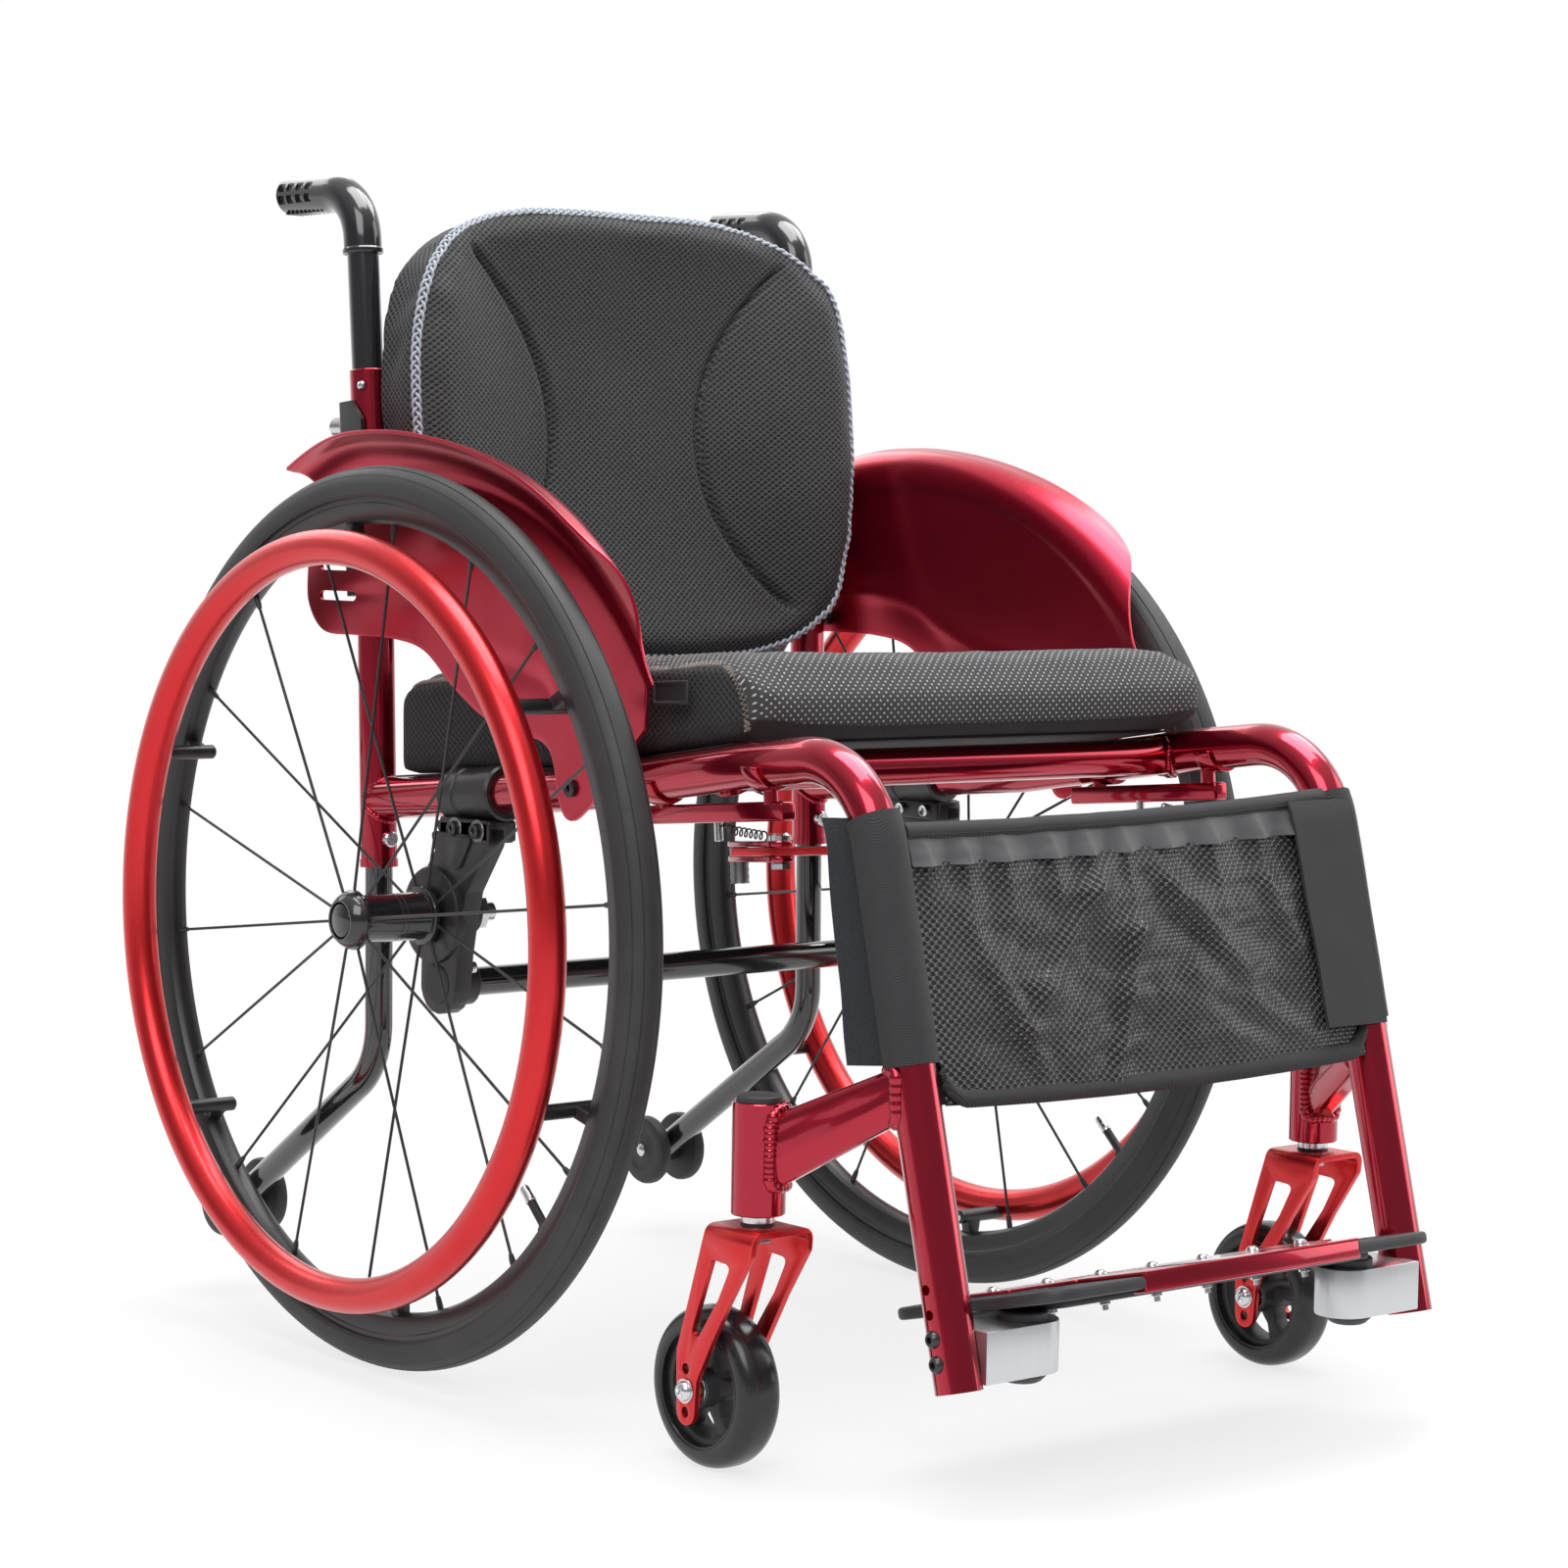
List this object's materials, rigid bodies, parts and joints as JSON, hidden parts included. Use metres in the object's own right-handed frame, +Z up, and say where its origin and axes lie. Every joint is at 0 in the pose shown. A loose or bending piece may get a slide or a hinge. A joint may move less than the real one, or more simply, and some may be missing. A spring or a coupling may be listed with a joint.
{
  "type": "wheelchair",
  "caption": "Active manual wheelchair with a rigid welded tube frame, spoked quick-release rear wheels with handrims, small swivel casters and a fold-down backrest",
  "frame": {"origin": "on the floor, in the middle of the chair's footprint between its front and rear ends", "axes": "+X is the chair's left side, +Y its rear and +Z up; it faces -Y"},
  "size_m": [0.6112, 0.8636, 0.8022],
  "materials": {
    "candy_red_paint": "gloss metallic red paint on welded aluminium tube",
    "satin_red_paint": "satin dark red anodised sheet",
    "handrim_red": "satin bright red anodised tube",
    "black_metal": "satin black anodised",
    "gloss_black": "gloss black",
    "gloss_black_tube": "gloss black painted tube",
    "black_plastic": "matte black moulding",
    "silver_aluminium": "brushed silver aluminium",
    "bright_steel": "bright plated steel",
    "tyre_rubber": "dark grey rubber",
    "caster_rubber": "black solid rubber",
    "spacer_mesh": "black spacer mesh",
    "seat_fabric": "dark grey dotted fabric",
    "strap_fabric": "black mesh and strap cloth"
  },
  "bodies": {
    "chassis": {"side_frame_left": "candy_red_paint", "side_frame_right": "candy_red_paint", "front_cross_tube": "candy_red_paint", "caster_arm_left": "candy_red_paint", "caster_arm_right": "candy_red_paint", "seat_sling": "strap_fabric", "seat_cushion": "seat_fabric", "axle_plate_left": "black_metal", "axle_plate_right": "black_metal", "camber_tube": "gloss_black_tube", "quick_release_axle_left": "bright_steel", "quick_release_axle_right": "bright_steel", "fender_left": "satin_red_paint", "fender_right": "satin_red_paint", "footplate_channel": "candy_red_paint", "footplate_board": "black_plastic", "footplate_block_left": "silver_aluminium", "footplate_block_right": "silver_aluminium", "calf_pouch": "strap_fabric", "anti_tip_tube_left": "gloss_black_tube", "anti_tip_tube_right": "gloss_black_tube", "brake_bar_left": "candy_red_paint", "brake_bar_right": "candy_red_paint", "back_bracket_left": "black_metal", "back_bracket_right": "black_metal"},
    "wheel_left": {"tyre_left": "tyre_rubber", "rim_left": "black_metal", "handrim_left": "handrim_red", "spoked_hub_left": "black_metal"},
    "wheel_right": {"tyre_right": "tyre_rubber", "rim_right": "black_metal", "handrim_right": "handrim_red", "spoked_hub_right": "black_metal"},
    "wheel_button_left": {"wheel_button_left": "gloss_black"},
    "wheel_button_right": {"wheel_button_right": "gloss_black"},
    "caster_fork_left": {"fork_left": "handrim_red", "caster_axle_left": "bright_steel"},
    "caster_fork_right": {"fork_right": "handrim_red", "caster_axle_right": "bright_steel"},
    "caster_wheel_left": {"caster_tyre_left": "caster_rubber", "caster_core_left": "black_plastic"},
    "caster_wheel_right": {"caster_tyre_right": "caster_rubber", "caster_core_right": "black_plastic"},
    "anti_tip_wheels_left": {"anti_tip_wheels_left": "caster_rubber"},
    "anti_tip_wheels_right": {"anti_tip_wheels_right": "caster_rubber"},
    "brake_lever_left": {"brake_lever_left": "handrim_red"},
    "brake_lever_right": {"brake_lever_right": "handrim_red"},
    "brake_arm_left": {"brake_arm_left": "candy_red_paint"},
    "brake_arm_right": {"brake_arm_right": "candy_red_paint"},
    "backrest": {"back_cane_left": "candy_red_paint", "back_cane_right": "candy_red_paint", "back_pad": "spacer_mesh"},
    "lock_pin_left": {"lock_pin_left": "bright_steel"},
    "lock_pin_right": {"lock_pin_right": "bright_steel"},
    "push_handle_left": {"handle_tube_left": "gloss_black_tube", "handle_grip_left": "gloss_black"},
    "push_handle_right": {"handle_tube_right": "gloss_black_tube", "handle_grip_right": "gloss_black"},
    "snap_button_left": {"snap_button_left": "bright_steel"},
    "snap_button_right": {"snap_button_right": "bright_steel"}
  },
  "joints": [
    {"name": "backrest_fold", "type": "hinge", "parent": "chassis", "child": "backrest", "pos_m": [0, 0.23218, 0.555], "axis": [1, 0, 0], "range_deg": [0, 88]},
    {"name": "wheel_spin_left", "type": "hinge", "parent": "chassis", "child": "wheel_left", "pos_m": [0.2531, 0.13177, 0.3], "axis": [1, 0, 0], "continuous": true},
    {"name": "wheel_button_press_left", "type": "slide", "parent": "wheel_left", "child": "wheel_button_left", "axis": [-1, 0, 0], "range_m": [0, 0.003], "stiffness_N_per_m": 300, "springref_m": -0.002},
    {"name": "caster_swivel_left", "type": "hinge", "parent": "chassis", "child": "caster_fork_left", "pos_m": [0.24, -0.25423, 0.1525], "axis": [0, 0, 1], "continuous": true},
    {"name": "caster_spin_left", "type": "hinge", "parent": "caster_fork_left", "child": "caster_wheel_left", "pos_m": [0.24, -0.21723, 0.049], "axis": [1, 0, 0], "continuous": true},
    {"name": "anti_tip_spin_left", "type": "hinge", "parent": "chassis", "child": "anti_tip_wheels_left", "pos_m": [0.194, 0.39777, 0.068], "axis": [1, 0, 0], "continuous": true},
    {"name": "brake_lever_swing_left", "type": "hinge", "parent": "chassis", "child": "brake_lever_left", "pos_m": [0.187, -0.20523, 0.36768], "axis": [0, 0.0872, 0.9962], "range_deg": [0, 45]},
    {"name": "brake_arm_swing_left", "type": "hinge", "parent": "chassis", "child": "brake_arm_left", "pos_m": [0.187, -0.20523, 0.36768], "axis": [0, 0.0872, 0.9962], "range_deg": [-67, 0]},
    {"name": "lock_pin_pull_left", "type": "slide", "parent": "chassis", "child": "lock_pin_left", "axis": [0, 1, 0], "range_m": [0, 0.006], "stiffness_N_per_m": 400, "springref_m": -0.002},
    {"name": "handle_height_left", "type": "slide", "parent": "backrest", "child": "push_handle_left", "axis": [0, 0.0907, 0.9959], "range_m": [0, 0.06]},
    {"name": "snap_button_press_left", "type": "slide", "parent": "backrest", "child": "snap_button_left", "axis": [-0.8, 0.6, 0], "range_m": [0, 0.002], "stiffness_N_per_m": 250, "springref_m": -0.002},
    {"name": "wheel_spin_right", "type": "hinge", "parent": "chassis", "child": "wheel_right", "pos_m": [-0.2531, 0.13177, 0.3], "axis": [1, 0, 0], "continuous": true},
    {"name": "wheel_button_press_right", "type": "slide", "parent": "wheel_right", "child": "wheel_button_right", "axis": [1, 0, 0], "range_m": [0, 0.003], "stiffness_N_per_m": 300, "springref_m": -0.002},
    {"name": "caster_swivel_right", "type": "hinge", "parent": "chassis", "child": "caster_fork_right", "pos_m": [-0.24, -0.25423, 0.1525], "axis": [0, 0, 1], "continuous": true},
    {"name": "caster_spin_right", "type": "hinge", "parent": "caster_fork_right", "child": "caster_wheel_right", "pos_m": [-0.24, -0.21723, 0.049], "axis": [1, 0, 0], "continuous": true},
    {"name": "anti_tip_spin_right", "type": "hinge", "parent": "chassis", "child": "anti_tip_wheels_right", "pos_m": [-0.194, 0.39777, 0.068], "axis": [1, 0, 0], "continuous": true},
    {"name": "brake_lever_swing_right", "type": "hinge", "parent": "chassis", "child": "brake_lever_right", "pos_m": [-0.187, -0.20523, 0.36768], "axis": [0, -0.0872, -0.9962], "range_deg": [0, 45]},
    {"name": "brake_arm_swing_right", "type": "hinge", "parent": "chassis", "child": "brake_arm_right", "pos_m": [-0.187, -0.20523, 0.36768], "axis": [0, -0.0872, -0.9962], "range_deg": [-67, 0]},
    {"name": "lock_pin_pull_right", "type": "slide", "parent": "chassis", "child": "lock_pin_right", "axis": [0, 1, 0], "range_m": [0, 0.006], "stiffness_N_per_m": 400, "springref_m": -0.002},
    {"name": "handle_height_right", "type": "slide", "parent": "backrest", "child": "push_handle_right", "axis": [0, 0.0907, 0.9959], "range_m": [0, 0.06]},
    {"name": "snap_button_press_right", "type": "slide", "parent": "backrest", "child": "snap_button_right", "axis": [0.8, 0.6, 0], "range_m": [0, 0.002], "stiffness_N_per_m": 250, "springref_m": -0.002}
  ],
  "couplings": [
    {"joint": "brake_lever_swing_left", "follows": "brake_arm_swing_left", "ratio": -0.67164},
    {"joint": "brake_lever_swing_right", "follows": "brake_arm_swing_right", "ratio": -0.67164}
  ]
}
